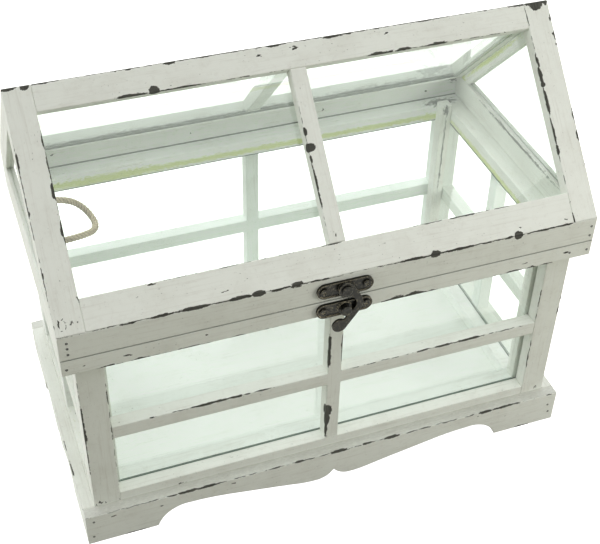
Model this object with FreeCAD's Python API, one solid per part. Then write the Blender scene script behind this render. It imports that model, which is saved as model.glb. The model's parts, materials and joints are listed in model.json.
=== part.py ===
import FreeCAD, Part
import math
import os

V = FreeCAD.Vector

# Wooden mini greenhouse, in millimetres. The ground is z = 0, the latch side faces -Y, and the
# origin is the middle of the footprint.

# Driving dimensions of the whole
LENGTH = 400.0
DEPTH = 228.0
RIM_TOP = 195.0
EAVE_TOP = 216.0
RIDGE_TOP = 336.0
OVERHANG = 9.5

# Plinth with its scalloped lower edge
PLINTH_HEIGHT = 31.0
FOOT_LENGTH = 55.0
CREST_HEIGHT = 17.3
LOBE_HEIGHT = 2.2
CUSP_HEIGHT = 10.5

# Case walls
FRAME_THICKNESS = 11.0
POST_WIDTH = 20.0
RAIL_BOTTOM = 18.0
RAIL_TOP = 39.0
MID_BAR_BOTTOM = 99.5
MID_BAR_HEIGHT = 12.0
BAR_WIDTH = 11.0
RIM_THICKNESS = 13.5
FLOOR_THICKNESS = 6.0
FLOOR_TOP = 27.5

# Glass, and the strips that hold it inside the case
GLASS = 2.0
GLASS_CLEARANCE = 0.3
BEAD_WIDTH = 11.5
BEAD_HEIGHT = 11.0
BATTEN_WIDTH = 10.0
BATTEN_ABOVE_RIM = 5.0

# Lid
PARTING_GAP = 0.3
EAVE_BOARD = 8.5
SASH_THICKNESS = 12.0
STILE_WIDTH = 19.5
RIDGE_RAIL_WIDTH = 18.9
EAVE_RAIL_WIDTH = 22.8
SASH_BAR_WIDTH = 11.8
REBATE_WIDTH = 5.0
RAFTER_WIDTH = 9.0
GROOVE_DEPTH = 3.0

# Hinges on the back
HINGE_PLACE = 110.0
HINGE_LENGTH = 30.0
HINGE_END_KNUCKLE = 8.0
HINGE_LEAF = 1.2
HINGE_LEAF_HEIGHT = 11.5
KNUCKLE_RADIUS = 2.4
HINGE_PIN_RADIUS = 1.1
HINGE_RUNNING_FIT = 0.06
HINGE_SIDE_GAP = 0.3
HINGE_SWEEP_GAP = 0.3

# Swing latch on the front
LATCH_PLATE_LENGTH = 42.0
LATCH_PLATE_HEIGHT = 12.4
KEEPER_PLATE_HEIGHT = 12.0
PLATE_THICKNESS = 1.6
RIM_BEAD_WIDTH = 1.1
RIM_BEAD_HEIGHT = 0.8
SCREW_SPACING = 32.0
SCREW_HOLE_RADIUS = 1.5
BOSS_RADIUS = 5.4
BOSS_HEIGHT = 1.3
PIVOT_RADIUS = 2.0
PIVOT_HEAD_RADIUS = 4.0
PIVOT_FIT = 0.06
HELD_FIT = 0.03
STUD_RADIUS = 2.6
STUD_HEAD_RADIUS = 4.2
HEAD_THICKNESS = 1.5
HEAD_CHAMFER = 0.5
HEAD_DISH_DEPTH = 0.6
ARM_THICKNESS = 2.0
ARM_SIDE_GAP = 0.1
STUD_HEAD_GAP = 0.4
ARM_EYE_RADIUS = 6.2
HOOK_INNER_RADIUS = 7.9
HOOK_OUTER_RADIUS = 12.8
HOOK_DROP = 13.9
LEG_ANGLE = 31.5
THUMB_RADIUS = 5.6
THUMB_DROP = 32.3
THUMB_OFFSET = 4.2

# Jute stay cord, from the lid's left board to the case's left rim board. Each point of its route is
# given as its distance inside the board that its end meets, its place from the middle towards the
# back, and its height from the rim. The first three go with the lid, the last three with the case.
CORD_DIAMETER = 4.4
CORD_LID_POINTS = [(0.0, 52.5, 8.5), (23.5, 52.5, 8.5), (42.5, 61.5, -8.5)]
CORD_CASE_POINTS = [(37.0, 39.5, -17.5), (17.5, 23.0, -9.5), (0.0, 23.0, -9.5)]

# Worked out from the driving dimensions
HALF_LENGTH = LENGTH / 2
HALF_DEPTH = DEPTH / 2
CASE_X = HALF_LENGTH - OVERHANG
CASE_Y = HALF_DEPTH - OVERHANG
FRAME_X = CASE_X - FRAME_THICKNESS
FRAME_Y = CASE_Y - FRAME_THICKNESS
GLASS_X = FRAME_X - GLASS
GLASS_Y = FRAME_Y - GLASS
RIM_BOTTOM = RIM_TOP - RIM_THICKNESS
MID_BAR_TOP = MID_BAR_BOTTOM + MID_BAR_HEIGHT
LID_BOTTOM = RIM_TOP + PARTING_GAP
ROOF_RISE = RIDGE_TOP - EAVE_TOP
SLOPE_LENGTH = math.hypot(HALF_DEPTH, ROOF_RISE)
SLOPE_COS = HALF_DEPTH / SLOPE_LENGTH
SLOPE_SIN = ROOF_RISE / SLOPE_LENGTH
PANE_DEPTH = SASH_THICKNESS - GLASS
EVERYWHERE = 10 * LENGTH

os.makedirs("parts", exist_ok=True)


def save(name, shape):
    shape = shape.removeSplitter()
    if not shape.isValid() or shape.Volume <= 0:
        raise RuntimeError(name + " is not a valid solid")
    shape.exportStep("parts/" + name + ".step")
    print(name, round(shape.Volume), "mm3,", len(shape.Solids), "solid")


def box(x0, x1, y0, y1, z0, z1):
    return Part.makeBox(x1 - x0, y1 - y0, z1 - z0, V(x0, y0, z0))


def turned_front(shape, wall):
    # A shape made for the front or the left serves the opposite wall as its mirror image.
    if wall == "back":
        return shape.mirror(V(0, 0, 0), V(0, 1, 0))
    if wall == "right":
        return shape.mirror(V(0, 0, 0), V(1, 0, 0))
    return shape


def rod(centre_x, centre_z, radius, y_from, y_to):
    length = abs(y_to - y_from)
    direction = V(0, 1, 0) if y_to > y_from else V(0, -1, 0)
    return Part.makeCylinder(radius, length, V(centre_x, y_from, centre_z), direction)


def prism_along_x(outline, x0, x1):
    points = [V(x0, y, z) for y, z in outline]
    face = Part.Face(Part.makePolygon(points + [points[0]]))
    return face.extrude(V(x1 - x0, 0, 0))


# Plinth

def apron_half(foot_inside):
    # From the inner corner of a foot, over the arch, down to the lobe and up to the middle cusp.
    crest = 0.81 * foot_inside
    lobe = max(0.11 * foot_inside, 10.0)
    shoulder = V(foot_inside * 0.955, 0, CREST_HEIGHT * 0.62)
    arch = Part.Arc(V(foot_inside, 0, 0), shoulder, V(crest, 0, CREST_HEIGHT))
    run = crest - lobe
    drop = CREST_HEIGHT - LOBE_HEIGHT
    sweep = Part.BSplineCurve()
    sweep.interpolate(
        Points=[
            V(crest, 0, CREST_HEIGHT),
            V(crest - 0.42 * run, 0, LOBE_HEIGHT + 0.66 * drop),
            V(crest - 0.82 * run, 0, LOBE_HEIGHT + 0.16 * drop),
            V(lobe, 0, LOBE_HEIGHT),
        ],
        InitialTangent=V(-1, 0, 0),
        FinalTangent=V(-1, 0, 0),
    )
    knee = V(lobe * 0.42, 0, LOBE_HEIGHT + 0.22 * (CUSP_HEIGHT - LOBE_HEIGHT))
    rise = Part.Arc(V(lobe, 0, LOBE_HEIGHT), knee, V(0, 0, CUSP_HEIGHT))
    return [arch.toShape(), sweep.toShape(), rise.toShape()]


def apron(half_span, foot_inside):
    # The outline lies in the XZ plane and is as thick as the overhang, towards -Y.
    right = apron_half(foot_inside)
    left = [edge.mirror(V(0, 0, 0), V(1, 0, 0)) for edge in right]
    corners = [
        V(-foot_inside, 0, 0),
        V(-half_span, 0, 0),
        V(-half_span, 0, PLINTH_HEIGHT),
        V(half_span, 0, PLINTH_HEIGHT),
        V(half_span, 0, 0),
        V(foot_inside, 0, 0),
    ]
    straight = [Part.makeLine(a, b) for a, b in zip(corners, corners[1:])]
    ordered = Part.sortEdges(right + left + straight)[0]
    return Part.Face(Part.Wire(ordered)).extrude(V(0, -OVERHANG, 0))


def plinth():
    front = apron(HALF_LENGTH, HALF_LENGTH - FOOT_LENGTH)
    front.translate(V(0, -CASE_Y, 0))
    side = apron(CASE_Y, HALF_DEPTH - FOOT_LENGTH)
    side.rotate(V(0, 0, 0), V(0, 0, 1), -90)
    side.translate(V(-CASE_X, 0, 0))
    for wall, board in (("front", front), ("back", front), ("left", side), ("right", side)):
        save("plinth_board_" + wall, turned_front(board, wall))


# Case

def corners_of(shape):
    # The front left corner's piece, and its mirror images for the other three corners.
    left_back = turned_front(shape, "back")
    return {
        "front_left": shape,
        "front_right": turned_front(shape, "right"),
        "back_left": left_back,
        "back_right": turned_front(left_back, "right"),
    }


def posts_and_battens():
    post = box(-CASE_X, -CASE_X + POST_WIDTH, -CASE_Y, -CASE_Y + POST_WIDTH, 0, RIM_BOTTOM)
    rebate = box(-FRAME_X, 0, -FRAME_Y, 0, 0, RIM_BOTTOM)
    batten = box(
        -GLASS_X,
        -GLASS_X + BATTEN_WIDTH,
        -GLASS_Y,
        -GLASS_Y + BATTEN_WIDTH,
        FLOOR_TOP + BEAD_HEIGHT,
        RIM_TOP + BATTEN_ABOVE_RIM,
    )
    for corner, shape in corners_of(post.cut(rebate)).items():
        save("corner_post_" + corner, shape)
    for corner, shape in corners_of(batten).items():
        save("corner_batten_" + corner, shape)


def wall_frames():
    # Bottom rails and the halved cross of bars, between the posts.
    half_front = CASE_X - POST_WIDTH
    half_side = CASE_Y - POST_WIDTH
    half_bar = BAR_WIDTH / 2
    front_rail = box(-half_front, half_front, -CASE_Y, -FRAME_Y, RAIL_BOTTOM, RAIL_TOP)
    side_rail = box(-CASE_X, -FRAME_X, -half_side, half_side, RAIL_BOTTOM, RAIL_TOP)
    front_upright = box(-half_bar, half_bar, -CASE_Y, -FRAME_Y, RAIL_TOP, RIM_BOTTOM)
    side_upright = box(-CASE_X, -FRAME_X, -half_bar, half_bar, RAIL_TOP, RIM_BOTTOM)
    front_level = box(-half_front, half_front, -CASE_Y, -FRAME_Y, MID_BAR_BOTTOM, MID_BAR_TOP)
    side_level = box(-CASE_X, -FRAME_X, -half_side, half_side, MID_BAR_BOTTOM, MID_BAR_TOP)
    for wall in ("front", "back"):
        save("bottom_rail_" + wall, turned_front(front_rail, wall))
        save("glazing_bars_" + wall, turned_front(front_upright.fuse(front_level), wall))
    for wall in ("left", "right"):
        save("bottom_rail_" + wall, turned_front(side_rail, wall))
        save("glazing_bars_" + wall, turned_front(side_upright.fuse(side_level), wall))


def case_panes():
    top = RIM_BOTTOM - GLASS_CLEARANCE
    wide = FRAME_X - GLASS_CLEARANCE
    deep = GLASS_Y - GLASS_CLEARANCE
    front = box(-wide, wide, -FRAME_Y, -GLASS_Y, FLOOR_TOP, top)
    left = box(-FRAME_X, -GLASS_X, -deep, deep, FLOOR_TOP, top)
    for wall, pane in (("front", front), ("back", front), ("left", left), ("right", left)):
        save("pane_" + wall, turned_front(pane, wall))


def floor():
    save("floor_panel", box(-FRAME_X, FRAME_X, -FRAME_Y, FRAME_Y, FLOOR_TOP - FLOOR_THICKNESS, FLOOR_TOP))
    top = FLOOR_TOP + BEAD_HEIGHT
    inner_x = GLASS_X - BEAD_WIDTH
    inner_y = GLASS_Y - BEAD_WIDTH
    bead = box(-GLASS_X, GLASS_X, -GLASS_Y, GLASS_Y, FLOOR_TOP, top)
    save("floor_bead", bead.cut(box(-inner_x, inner_x, -inner_y, inner_y, FLOOR_TOP, top)))


def rim():
    front = box(-HALF_LENGTH, HALF_LENGTH, -HALF_DEPTH, -GLASS_Y, RIM_BOTTOM, RIM_TOP)
    left = box(-HALF_LENGTH, -GLASS_X, -GLASS_Y, GLASS_Y, RIM_BOTTOM, RIM_TOP)
    for wall, board in (("front", front), ("back", front), ("left", left), ("right", left)):
        save("rim_board_" + wall, turned_front(board, wall))


# Lid

def on_slope(down, inwards):
    # A point of the front slope's section: down the slope from the ridge, and in from its face.
    y = -down * SLOPE_COS + inwards * SLOPE_SIN
    z = RIDGE_TOP - down * SLOPE_SIN - inwards * SLOPE_COS
    return y, z


def slope_bar(x0, x1, down0, down1, in0, in1):
    outline = [on_slope(down0, in0), on_slope(down1, in0), on_slope(down1, in1), on_slope(down0, in1)]
    return prism_along_x(outline, x0, x1)


def above_eaves(shape):
    # Plumb cut at the ridge and level cut on the eave boards.
    front_half = box(-EVERYWHERE, EVERYWHERE, -EVERYWHERE, 0, EAVE_TOP, EVERYWHERE)
    return shape.common(front_half)


def roof_slopes():
    opening_x = HALF_LENGTH - STILE_WIDTH
    opening_top = RIDGE_RAIL_WIDTH
    opening_bottom = SLOPE_LENGTH - EAVE_RAIL_WIDTH
    pocket_x = opening_x + REBATE_WIDTH
    pocket_top = opening_top - REBATE_WIDTH
    pocket_bottom = opening_bottom + REBATE_WIDTH
    past = SASH_THICKNESS * 2
    long_down = SLOPE_LENGTH + past
    pocket = slope_bar(-pocket_x, pocket_x, pocket_top, pocket_bottom, PANE_DEPTH, past)
    stile = above_eaves(slope_bar(-HALF_LENGTH, -opening_x, -past, long_down, 0, SASH_THICKNESS))
    ridge_rail = above_eaves(slope_bar(-opening_x, opening_x, -past, opening_top, 0, SASH_THICKNESS))
    eave_rail = above_eaves(slope_bar(-opening_x, opening_x, opening_bottom, long_down, 0, SASH_THICKNESS))
    half_bar = SASH_BAR_WIDTH / 2
    middle_bar = slope_bar(-half_bar, half_bar, opening_top, opening_bottom, 0, PANE_DEPTH)
    pane = slope_bar(
        -pocket_x + GLASS_CLEARANCE,
        pocket_x - GLASS_CLEARANCE,
        pocket_top + GLASS_CLEARANCE,
        pocket_bottom - GLASS_CLEARANCE,
        PANE_DEPTH,
        SASH_THICKNESS,
    )
    pieces = {
        "stile_left": stile.cut(pocket),
        "stile_right": turned_front(stile.cut(pocket), "right"),
        "ridge_rail": ridge_rail.cut(pocket),
        "eave_rail": eave_rail.cut(pocket),
        "bar": middle_bar,
        "pane": pane,
    }
    for wall in ("front", "back"):
        for name, shape in pieces.items():
            save("roof_" + wall + "_" + name, turned_front(shape, wall))


def gable_triangle(inwards, bottom, x0, x1):
    # A prism with two sides parallel to the slopes, that far in from them, and a level bottom.
    rise = RIDGE_TOP - inwards / SLOPE_COS - bottom
    half = rise * SLOPE_COS / SLOPE_SIN
    return prism_along_x([(-half, bottom), (half, bottom), (0, bottom + rise)], x0, x1)


def gables_and_eaves():
    inner_x = HALF_LENGTH - EAVE_BOARD
    rafter_in = SASH_THICKNESS + RAFTER_WIDTH
    whole = gable_triangle(SASH_THICKNESS, EAVE_TOP, -HALF_LENGTH, -inner_x)
    opening = gable_triangle(rafter_in, EAVE_TOP, -HALF_LENGTH, -inner_x)
    pane_outside = -HALF_LENGTH + (EAVE_BOARD - GLASS) / 2
    pane_inside = pane_outside + GLASS
    groove_in = rafter_in - GROOVE_DEPTH
    groove_bottom = EAVE_TOP - GROOVE_DEPTH
    pane = gable_triangle(
        groove_in + GLASS_CLEARANCE,
        groove_bottom + GLASS_CLEARANCE,
        pane_outside,
        pane_inside,
    )
    groove = gable_triangle(groove_in, groove_bottom, pane_outside, pane_inside)
    front = box(-HALF_LENGTH, HALF_LENGTH, -HALF_DEPTH, -HALF_DEPTH + EAVE_BOARD, LID_BOTTOM, EAVE_TOP)
    inner_y = HALF_DEPTH - EAVE_BOARD
    left = box(-HALF_LENGTH, -inner_x, -inner_y, inner_y, LID_BOTTOM, EAVE_TOP).cut(groove)
    rafters = whole.cut(opening).cut(groove)
    for wall in ("front", "back"):
        save("eave_board_" + wall, turned_front(front, wall))
    for wall in ("left", "right"):
        save("eave_board_" + wall, turned_front(left, wall))
        save("gable_rafters_" + wall, turned_front(rafters, wall))
        save("gable_pane_" + wall, turned_front(pane, wall))


# Hinges

def hinge_barrel(x0, x1, radius):
    axis_y = HALF_DEPTH + KNUCKLE_RADIUS + HINGE_SWEEP_GAP
    axis_z = RIM_TOP + PARTING_GAP / 2
    return Part.makeCylinder(radius, x1 - x0, V(x0, axis_y, axis_z), V(1, 0, 0))


def hinge(centre_x):
    start = centre_x - HINGE_LENGTH / 2
    end = centre_x + HINGE_LENGTH / 2
    first = start + HINGE_END_KNUCKLE
    last = end - HINGE_END_KNUCKLE
    face = HALF_DEPTH
    outer = HALF_DEPTH + HINGE_LEAF
    axis_z = RIM_TOP + PARTING_GAP / 2
    shoulder = KNUCKLE_RADIUS + HINGE_SWEEP_GAP
    pin = hinge_barrel(start, end, HINGE_PIN_RADIUS)
    case_leaf = box(start, end, face, outer, axis_z - HINGE_LEAF_HEIGHT, axis_z - shoulder)
    for x0, x1 in ((start, first), (last, end)):
        case_leaf = case_leaf.fuse(box(x0, x1, face, outer, axis_z - shoulder, axis_z))
        case_leaf = case_leaf.fuse(hinge_barrel(x0, x1, KNUCKLE_RADIUS))
    case_leaf = case_leaf.fuse(pin)
    middle0 = first + HINGE_SIDE_GAP
    middle1 = last - HINGE_SIDE_GAP
    lid_leaf = box(start, end, face, outer, axis_z + shoulder, axis_z + HINGE_LEAF_HEIGHT)
    lid_leaf = lid_leaf.fuse(box(middle0, middle1, face, outer, axis_z, axis_z + shoulder))
    lid_leaf = lid_leaf.fuse(hinge_barrel(middle0, middle1, KNUCKLE_RADIUS))
    lid_leaf = lid_leaf.cut(hinge_barrel(start, end, HINGE_PIN_RADIUS + HINGE_RUNNING_FIT))
    return case_leaf, lid_leaf


def hinges():
    for side, centre_x in (("left", -HINGE_PLACE), ("right", HINGE_PLACE)):
        case_leaf, lid_leaf = hinge(centre_x)
        save("hinge_case_leaf_" + side, case_leaf)
        save("hinge_lid_leaf_" + side, lid_leaf)


# Latch

def stadium(centre_z, length, height, y_from, y_to):
    radius = height / 2
    reach = length / 2 - radius
    middle = box(-reach, reach, min(y_from, y_to), max(y_from, y_to), centre_z - radius, centre_z + radius)
    ends = [rod(side * reach, centre_z, radius, y_from, y_to) for side in (-1, 1)]
    return middle.multiFuse(ends)


def latch_plate(centre_z, height, hole_radius):
    # A stadium plate on the wood, with a raised rim, a boss round its middle hole and two screw holes.
    back = -HALF_DEPTH
    front = back - PLATE_THICKNESS
    plate = stadium(centre_z, LATCH_PLATE_LENGTH, height, back, front)
    rim_front = front - RIM_BEAD_HEIGHT
    raised = stadium(centre_z, LATCH_PLATE_LENGTH, height, front, rim_front)
    sunk = stadium(
        centre_z,
        LATCH_PLATE_LENGTH - 2 * RIM_BEAD_WIDTH,
        height - 2 * RIM_BEAD_WIDTH,
        front,
        rim_front,
    )
    plate = plate.fuse(raised.cut(sunk)).fuse(rod(0, centre_z, BOSS_RADIUS, front, front - BOSS_HEIGHT))
    plate = plate.cut(rod(0, centre_z, hole_radius, back, front - BOSS_HEIGHT))
    for side in (-1, 1):
        plate = plate.cut(rod(side * SCREW_SPACING / 2, centre_z, SCREW_HOLE_RADIUS, back, front))
    return plate


def headed_pin(centre_z, radius, head_radius, neck_end):
    # Its back end is flat on the wood, and its head has a chamfered rim and a dished face.
    back = -HALF_DEPTH
    tip = neck_end - HEAD_THICKNESS
    outline = [
        (0, back),
        (radius, back),
        (radius, neck_end),
        (head_radius, neck_end),
        (head_radius, tip + HEAD_CHAMFER),
        (head_radius - HEAD_CHAMFER, tip),
        (head_radius - 3 * HEAD_CHAMFER, tip),
        (0, tip + HEAD_DISH_DEPTH),
        (0, back),
    ]
    profile = Part.Face(Part.makePolygon([V(x, y, centre_z) for x, y in outline]))
    return profile.revolve(V(0, 0, centre_z), V(0, 1, 0), 360)


def flat_piece(outline, back):
    # An outline in the XZ plane, as thick as the arm.
    points = [V(x, back, z) for x, z in outline]
    return Part.Face(Part.makePolygon(points + [points[0]])).extrude(V(0, -ARM_THICKNESS, 0))


def arm(pivot_z, back):
    # An eye on the pivot, a hook that opens to the left round the stud, and a straight leg that ends
    # in a round thumb piece.
    front = back - ARM_THICKNESS
    hook_z = pivot_z - HOOK_DROP
    thumb_z = pivot_z - THUMB_DROP
    reach = 2 * HOOK_OUTER_RADIUS
    end = math.radians(LEG_ANGLE)
    lean = math.asin((HOOK_OUTER_RADIUS - ARM_EYE_RADIUS) / HOOK_DROP)
    eye = rod(0, pivot_z, ARM_EYE_RADIUS, back, front)
    thumb = rod(-THUMB_OFFSET, thumb_z, THUMB_RADIUS, back, front)
    keep = flat_piece(
        [(0, hook_z), (0, hook_z + reach), (reach, hook_z + reach), (reach, hook_z - reach * math.tan(end))],
        back,
    )
    ring = rod(0, hook_z, HOOK_OUTER_RADIUS, back, front).common(keep)
    shoulder = flat_piece(
        [
            (0, pivot_z),
            (ARM_EYE_RADIUS * math.cos(lean), pivot_z + ARM_EYE_RADIUS * math.sin(lean)),
            (HOOK_OUTER_RADIUS * math.cos(lean), hook_z + HOOK_OUTER_RADIUS * math.sin(lean)),
            (0, hook_z),
        ],
        back,
    )
    hook = ring.fuse(shoulder).cut(rod(0, hook_z, HOOK_INNER_RADIUS, back, front))
    leg = flat_piece(
        [
            (HOOK_INNER_RADIUS * math.cos(end), hook_z - HOOK_INNER_RADIUS * math.sin(end)),
            (-THUMB_OFFSET, thumb_z),
            (THUMB_RADIUS * math.cos(end) - THUMB_OFFSET, thumb_z - THUMB_RADIUS * math.sin(end)),
            (HOOK_OUTER_RADIUS * math.cos(end), hook_z - HOOK_OUTER_RADIUS * math.sin(end)),
        ],
        back,
    )
    solid = eye.multiFuse([hook, leg, thumb])
    return solid.cut(rod(0, pivot_z, PIVOT_RADIUS + PIVOT_FIT, back, front))


def latch():
    pivot_z = (EAVE_TOP + RIM_TOP) / 2
    stud_z = (RIM_TOP + RIM_BOTTOM) / 2 - 1.0
    boss_front = -HALF_DEPTH - PLATE_THICKNESS - BOSS_HEIGHT
    arm_back = boss_front - ARM_SIDE_GAP
    arm_front = arm_back - ARM_THICKNESS
    save("latch_plate", latch_plate(pivot_z, LATCH_PLATE_HEIGHT, PIVOT_RADIUS + HELD_FIT))
    save("keeper_plate", latch_plate(stud_z, KEEPER_PLATE_HEIGHT, STUD_RADIUS + HELD_FIT))
    save("latch_pivot", headed_pin(pivot_z, PIVOT_RADIUS, PIVOT_HEAD_RADIUS, arm_front - ARM_SIDE_GAP))
    save("keeper_stud", headed_pin(stud_z, STUD_RADIUS, STUD_HEAD_RADIUS, arm_front - STUD_HEAD_GAP))
    save("latch_arm", arm(pivot_z, arm_back))


# Stay cord

def rounded_path(points):
    # Straight runs joined by tangent arcs, each arc as large as its two runs allow.
    edges = []
    here = points[0]
    radii = []
    for before, corner, after in zip(points, points[1:], points[2:]):
        back = (before - corner).normalize()
        on = (after - corner).normalize()
        turn = math.pi - back.getAngle(on)
        cut = 0.45 * min((before - corner).Length, (after - corner).Length)
        radius = cut / math.tan(turn / 2)
        radii.append(round(radius, 1))
        start = corner + back * cut
        finish = corner + on * cut
        bisector = (back + on).normalize()
        middle = corner + bisector * (math.hypot(radius, cut) - radius)
        edges.append(Part.makeLine(here, start))
        edges.append(Part.Arc(start, middle, finish).toShape())
        here = finish
    edges.append(Part.makeLine(here, points[-1]))
    print("cord radii", radii)
    return Part.Wire(edges)


def stay_cord():
    lid_x = -HALF_LENGTH + EAVE_BOARD
    case_x = -GLASS_X
    points = [V(lid_x + inside, y, RIM_TOP + up) for inside, y, up in CORD_LID_POINTS]
    points += [V(case_x + inside, y, RIM_TOP + up) for inside, y, up in CORD_CASE_POINTS]
    path = rounded_path(points)
    circle = Part.makeCircle(CORD_DIAMETER / 2, points[0], points[1] - points[0])
    tube = path.makePipe(Part.Face(Part.Wire(circle)))
    section = math.pi * (CORD_DIAMETER / 2) ** 2
    print("cord length", round(path.Length, 1), "mm, volume over section", round(tube.Volume / section, 1))
    save("stay_cord", tube)


plinth()
posts_and_battens()
wall_frames()
case_panes()
floor()
rim()
roof_slopes()
gables_and_eaves()
hinges()
latch()
stay_cord()
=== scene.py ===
import json
import math
import random

import bpy
from mathutils import Matrix, Vector

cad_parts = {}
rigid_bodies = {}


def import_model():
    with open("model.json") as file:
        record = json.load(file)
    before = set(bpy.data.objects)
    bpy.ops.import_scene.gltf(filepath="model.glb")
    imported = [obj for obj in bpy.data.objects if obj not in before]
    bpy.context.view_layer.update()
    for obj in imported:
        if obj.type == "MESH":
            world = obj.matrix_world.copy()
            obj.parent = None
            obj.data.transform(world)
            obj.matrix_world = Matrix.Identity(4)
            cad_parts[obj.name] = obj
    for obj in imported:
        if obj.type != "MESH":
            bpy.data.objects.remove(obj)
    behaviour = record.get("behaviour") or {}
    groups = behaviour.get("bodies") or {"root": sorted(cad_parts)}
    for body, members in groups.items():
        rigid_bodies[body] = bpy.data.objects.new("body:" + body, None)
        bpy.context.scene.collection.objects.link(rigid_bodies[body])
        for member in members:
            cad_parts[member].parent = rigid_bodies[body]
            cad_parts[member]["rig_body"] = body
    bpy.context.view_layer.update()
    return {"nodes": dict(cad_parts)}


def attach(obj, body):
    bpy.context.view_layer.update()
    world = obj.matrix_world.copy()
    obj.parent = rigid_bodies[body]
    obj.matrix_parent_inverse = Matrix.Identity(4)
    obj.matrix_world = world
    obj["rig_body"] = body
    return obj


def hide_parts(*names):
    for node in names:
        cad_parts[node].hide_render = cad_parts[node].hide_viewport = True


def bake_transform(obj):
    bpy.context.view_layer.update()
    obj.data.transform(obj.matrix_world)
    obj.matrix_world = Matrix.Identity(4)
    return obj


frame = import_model()

bl_info = {
    "name": "Wooden Mini Greenhouse",
    "version": (1, 0, 0),
    "blender": (4, 5, 0),
    "location": "3D View > Sidebar > Greenhouse",
    "description": "Dresses a small painted wooden greenhouse with its boards, glass, latch, hinges and cord",
    "category": "Object",
}

# Lengths are in metres: MM turns the millimetres of the construction into them. The ground is
# z = 0, and the latch side faces -Y.
MM = 0.001
MERGE = 0.0001 * MM
COPLANAR = math.radians(0.5)
SHARP = math.radians(40)
BEVEL_FROM = math.radians(30)
X = Vector((1, 0, 0))
Y = Vector((0, 1, 0))
Z = Vector((0, 0, 1))
# In millimetres: the run and rise of a roof slope, and half the width of a glazing bar
ROOF_RUN = 114.0
ROOF_RISE = 120.0
HALF_BAR = 5.5
DOWN_FRONT = Vector((0, -ROOF_RUN, -ROOF_RISE)).normalized()
DOWN_BACK = Vector((0, ROOF_RUN, -ROOF_RISE)).normalized()


def srgb(red, green, blue):
    """A colour given as 0 to 255 on screen, in the linear values that Blender works with."""
    def linear(value):
        share = value / 255
        return share / 12.92 if share <= 0.04045 else ((share + 0.055) / 1.055) ** 2.4

    return (linear(red), linear(green), linear(blue))


def length_setting(name, description, millimetres):
    return bpy.props.FloatProperty(
        name=name,
        description=description,
        default=millimetres * MM,
        min=0.0,
        unit="LENGTH",
        subtype="DISTANCE",
    )


def colour_setting(name, description, colour):
    return bpy.props.FloatVectorProperty(
        name=name,
        description=description,
        default=srgb(*colour),
        size=3,
        min=0.0,
        max=1.0,
        subtype="COLOR",
    )


class GreenhouseSizes(bpy.types.PropertyGroup):
    board_edge: length_setting("Board edge", "Rounding along the edges of the painted boards", 0.55)
    glass_edge: length_setting("Glass edge", "Ground edge of the glass panes", 0.2)
    metal_edge: length_setting("Metal edge", "Rounding along the edges of latch and hinges", 0.25)
    wear_reach: length_setting("Wear reach", "How far from an edge the paint wears off", 1.3)
    screw_radius: length_setting("Latch screw radius", "Radius of the heads of the latch's wood screws", 3.0)
    hinge_screw_radius: length_setting("Hinge screw radius", "Radius of the heads of the hinge screws", 1.7)
    nail_radius: length_setting("Nail radius", "Radius of the panel nails' heads", 0.9)
    # Width of the dark strips of painted shadow where glass meets wood
    shadow_line_width: length_setting("Glass shadow line", "Thickness of the sealing line where glass meets wood", 0.45)
    cord_diameter: length_setting("Cord diameter", "Diameter of the jute stay cord over its strands", 4.4)
    cord_lay: length_setting("Cord lay", "Length in which a strand goes once round the cord", 9.0)


class GreenhouseColours(bpy.types.PropertyGroup):
    paint: colour_setting("Paint", "Brushed off-white paint", (239, 242, 235))
    # Inside paint: a lighter copy of the paint, painted light for the inside and back faces that the lamps
    # reach less
    inside_paint_with_painted_light: colour_setting("Inside paint", "Cleaner paint inside and at the back", (250, 254, 250))
    paint_streak: colour_setting("Paint streaks", "Where the paint lies thin over the wood", (216, 216, 207))
    bare_wood: colour_setting("Bare wood", "Weathered wood where the paint has chipped", (62, 62, 57))
    # Grime colour: dark dirt, and also painted shadow under the back sash and along the foot of the side rim
    grime_and_shade: colour_setting("Grime", "Dark dirt in the corners", (88, 96, 86))
    dust: colour_setting("Dust", "Grey dirt that lies on ledges", (150, 150, 142))
    algae: colour_setting("Algae", "Yellow-green stain inside the rim", (208, 222, 132))
    glass: colour_setting("Glass", "Tint of the clear panes", (250, 254, 251.5))
    # The panes' cut edges, and also the colour of the strips of painted shadow where glass meets wood
    glass_rim_and_shadow_line: colour_setting("Glass rim", "The cut edges of the panes", (44, 82, 66))
    bronze: colour_setting("Bronze", "Aged dark bronze of latch and hinges", (30, 30, 27))
    # Rubbed bronze: real wear on the edges, and painted highlight along the rims of latch and hinges
    bronze_rubbed_and_highlight: colour_setting("Rubbed bronze", "Bronze rubbed bright along its edges", (134, 126, 104))
    jute: colour_setting("Jute", "Fibre of the stay cord", (214, 202, 172))
    # Jute shade: darker fibres, and the painted shade in the grooves between strands
    jute_shade: colour_setting("Jute shade", "Darker fibres and the grooves between strands", (104, 88, 60))
    floor: colour_setting("Floor", "Plain pale floor", (127, 127, 110))


def sizes():
    return bpy.context.scene.greenhouse_sizes


def colours():
    return bpy.context.scene.greenhouse_colours


def opaque(colour):
    return (colour[0], colour[1], colour[2], 1.0)


# Node sheets

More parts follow.
